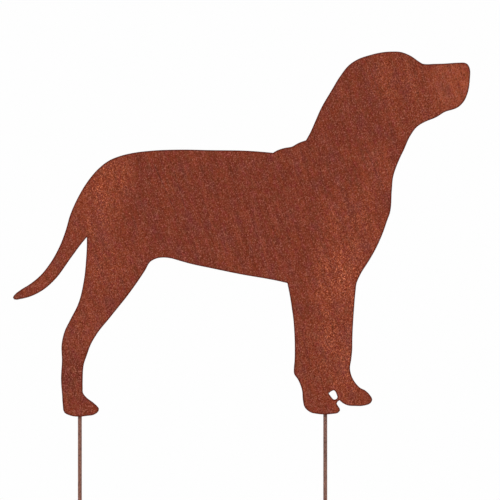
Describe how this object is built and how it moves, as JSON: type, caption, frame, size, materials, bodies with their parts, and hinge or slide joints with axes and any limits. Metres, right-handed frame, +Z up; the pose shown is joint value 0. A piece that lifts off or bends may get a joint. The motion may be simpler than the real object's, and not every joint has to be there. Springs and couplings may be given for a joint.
{
  "type": "dog silhouette garden stake",
  "caption": "Standing dog silhouette cut from rusted steel sheet, welded to thin round ground spikes.",
  "frame": {"origin": "on the ground line, level with the underside of the hind paw, midway between the axes of the two spikes", "axes": "+X towards the dog's nose, -Y out of the front face of the sheet, +Z up along the spikes"},
  "size_m": [0.4574, 0.0063, 0.5652],
  "materials": {
    "rusted_sheet": "dry, matt rust patina with fine orange and dark speckle",
    "weathered_rod": "weathered brown steel rod, lightly rusted",
    "weld_metal": "dark, rippled weld bead"
  },
  "bodies": {
    "root": {"dog_plate": "rusted_sheet", "rear_spike": "weathered_rod", "front_spike": "weathered_rod", "rear_upper_weld_tail_side": "weld_metal", "rear_upper_weld_nose_side": "weld_metal", "rear_lower_weld_tail_side": "weld_metal", "rear_lower_weld_nose_side": "weld_metal", "front_upper_weld_tail_side": "weld_metal", "front_upper_weld_nose_side": "weld_metal", "front_lower_weld_tail_side": "weld_metal", "front_lower_weld_nose_side": "weld_metal"}
  },
  "joints": []
}
